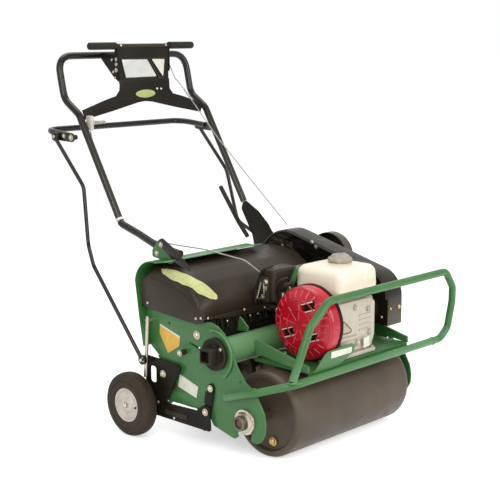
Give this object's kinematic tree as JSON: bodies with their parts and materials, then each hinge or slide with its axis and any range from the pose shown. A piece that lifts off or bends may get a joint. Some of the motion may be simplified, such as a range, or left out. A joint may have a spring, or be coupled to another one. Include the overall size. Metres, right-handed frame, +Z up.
{
  "type": "lawn aerator",
  "caption": "Walk-behind drum lawn aerator with petrol engine, belt-driven tine reel, rear transport wheels, lift bail and handle with grips and throttle.",
  "frame": {"origin": "on the ground under the middle of the machine's bounding box", "axes": "+Z up; -Y is the travel direction and +Y the operator's side; +X is the operator's left, where the belt guard is; X is the drum's, reel's and wheels' axis direction"},
  "size_m": [0.8434, 1.0624, 1.1155],
  "materials": {
    "green_paint": "gloss",
    "black_paint": "satin",
    "black_plastic": "satin",
    "drum_brown": "satin",
    "tyre_rubber": "matte",
    "rim_grey": "satin",
    "zinc": "satin",
    "brass": "satin",
    "steel": "satin",
    "engine_red": "gloss",
    "engine_grey": "matte",
    "tank_cream": "gloss",
    "cap_grey": "satin",
    "grip_rubber": "matte",
    "belt_rubber": "matte",
    "cable_sheath": "satin"
  },
  "bodies": {
    "frame": {"side_plate_right": "green_paint", "side_plate_left": "green_paint", "cross_tube": "green_paint", "hub_carrier": "black_paint", "engine_deck": "green_paint", "front_bar": "green_paint", "guard_loop": "green_paint", "rear_panel": "green_paint", "tine_cover": "black_plastic", "handle_gusset_left": "black_paint", "belt_guard": "black_paint", "belt_guard_back": "black_paint", "shaft_cover": "black_paint", "drum_bearing_right": "zinc", "drum_bearing_left": "zinc", "pivot_link_right": "black_paint", "pivot_link_left": "black_paint", "handle_tube": "black_paint", "handle_lower_right": "black_paint", "handle_lower_left": "black_paint", "wing_panel": "black_paint", "control_panel": "black_paint", "throttle_housing": "zinc", "drive_cable": "cable_sheath", "throttle_cable": "cable_sheath", "drive_belt": "belt_rubber", "drive_chain": "steel", "crankcase": "engine_grey", "cylinder_head": "engine_grey", "recoil_cover": "engine_red", "fuel_tank": "tank_cream", "air_cleaner": "black_plastic", "muffler": "steel"},
    "drum_body": {"drum": "drum_brown", "drain_plug": "brass"},
    "reel": {"reel_shaft": "steel", "tine_wheel_1": "steel", "tine_wheel_2": "steel", "tine_wheel_3": "steel", "tine_wheel_4": "steel", "tine_wheel_5": "steel", "tine_wheel_6": "steel"},
    "jack": {"jackshaft": "steel"},
    "crank": {"crank_pulley": "steel"},
    "idler": {"idler_arm": "black_paint"},
    "idler_wheel": {"idler_pulley": "steel"},
    "drive_lever": {"drive_bar": "black_paint"},
    "bail": {"lift_bail": "black_paint"},
    "rod_right": {"lift_rod_right": "black_paint"},
    "rod_left": {"lift_rod_left": "black_paint"},
    "arm_right": {"wheel_arm_right": "black_paint"},
    "arm_left": {"wheel_arm_left": "black_paint"},
    "wheel_right": {"tyre_right": "tyre_rubber", "rim_right": "rim_grey"},
    "wheel_left": {"tyre_left": "tyre_rubber", "rim_left": "rim_grey"},
    "throttle": {"throttle_lever": "cap_grey"},
    "choke": {"choke_lever": "black_plastic"},
    "cap": {"fuel_cap": "cap_grey"},
    "starter_grip": {"recoil_grip": "grip_rubber"}
  },
  "joints": [
    {"name": "drum_spin", "type": "hinge", "parent": "frame", "child": "drum_body", "pos_m": [0, -0.37229, 0.12], "axis": [1, 0, 0], "continuous": true},
    {"name": "reel_spin", "type": "hinge", "parent": "frame", "child": "reel", "pos_m": [0, -0.09429, 0.16], "axis": [1, 0, 0], "continuous": true},
    {"name": "jackshaft_spin", "type": "hinge", "parent": "frame", "child": "jack", "pos_m": [0, -0.07229, 0.43], "axis": [1, 0, 0], "continuous": true},
    {"name": "crank_spin", "type": "hinge", "parent": "frame", "child": "crank", "pos_m": [0, -0.40329, 0.359], "axis": [1, 0, 0], "continuous": true},
    {"name": "drive_bar_squeeze", "type": "hinge", "parent": "frame", "child": "drive_lever", "pos_m": [0, 0.38771, 1.03], "axis": [-1, 0, 0], "range_deg": [0, 20], "stiffness_Nm_per_rad": 2, "springref_deg": -22.92},
    {"name": "idler_swing", "type": "hinge", "parent": "frame", "child": "idler", "pos_m": [0, -0.32837, 0.36484], "axis": [1, 0, 0], "range_deg": [0, 7]},
    {"name": "idler_spin", "type": "hinge", "parent": "idler", "child": "idler_wheel", "pos_m": [0, -0.25677, 0.40229], "axis": [1, 0, 0], "continuous": true},
    {"name": "lift_bail_swing", "type": "hinge", "parent": "frame", "child": "bail", "pos_m": [0, 0.38171, 0.833], "axis": [1, 0, 0], "range_deg": [0, 35]},
    {"name": "lift_rod_right_swing", "type": "hinge", "parent": "bail", "child": "rod_right", "pos_m": [0, 0.44771, 0.833], "axis": [1, 0, 0], "range_deg": [-38, 0]},
    {"name": "lift_rod_left_swing", "type": "hinge", "parent": "bail", "child": "rod_left", "pos_m": [0, 0.44771, 0.833], "axis": [1, 0, 0], "range_deg": [-38, 0]},
    {"name": "wheel_arm_right_swing", "type": "hinge", "parent": "frame", "child": "arm_right", "pos_m": [0, -0.23229, 0.118], "axis": [1, 0, 0], "range_deg": [0, 14]},
    {"name": "wheel_arm_left_swing", "type": "hinge", "parent": "frame", "child": "arm_left", "pos_m": [0, -0.23229, 0.118], "axis": [1, 0, 0], "range_deg": [0, 14]},
    {"name": "wheel_right_spin", "type": "hinge", "parent": "arm_right", "child": "wheel_right", "pos_m": [0, 0.03371, 0.093], "axis": [1, 0, 0], "continuous": true},
    {"name": "wheel_left_spin", "type": "hinge", "parent": "arm_left", "child": "wheel_left", "pos_m": [0, 0.03371, 0.093], "axis": [1, 0, 0], "continuous": true},
    {"name": "throttle_swing", "type": "hinge", "parent": "frame", "child": "throttle", "pos_m": [-0.25188, 0.34971, 0.876], "axis": [0, 1, 0], "range_deg": [-30, 30]},
    {"name": "choke_swing", "type": "hinge", "parent": "frame", "child": "choke", "pos_m": [-0.11868, -0.26829, 0.38], "axis": [-1, 0, 0], "range_deg": [0, 40]},
    {"name": "fuel_cap_turn", "type": "hinge", "parent": "frame", "child": "cap", "pos_m": [0.03032, -0.38629, 0.5054], "axis": [0, 0, 1], "range_deg": [0, 90]},
    {"name": "starter_pull", "type": "slide", "parent": "frame", "child": "starter_grip", "axis": [0, 0.5, 0.866], "range_m": [0, 0.3], "stiffness_N_per_m": 30, "springref_m": -0.2}
  ],
  "couplings": [
    {"joint": "jackshaft_spin", "follows": "reel_spin", "ratio": 1},
    {"joint": "idler_swing", "follows": "drive_bar_squeeze", "ratio": 0.34},
    {"joint": "lift_rod_right_swing", "follows": "lift_bail_swing", "ratio": -1.056},
    {"joint": "lift_rod_left_swing", "follows": "lift_bail_swing", "ratio": -1.056},
    {"joint": "wheel_arm_right_swing", "follows": "lift_bail_swing", "ratio": 0.388},
    {"joint": "wheel_arm_left_swing", "follows": "lift_bail_swing", "ratio": 0.388}
  ]
}
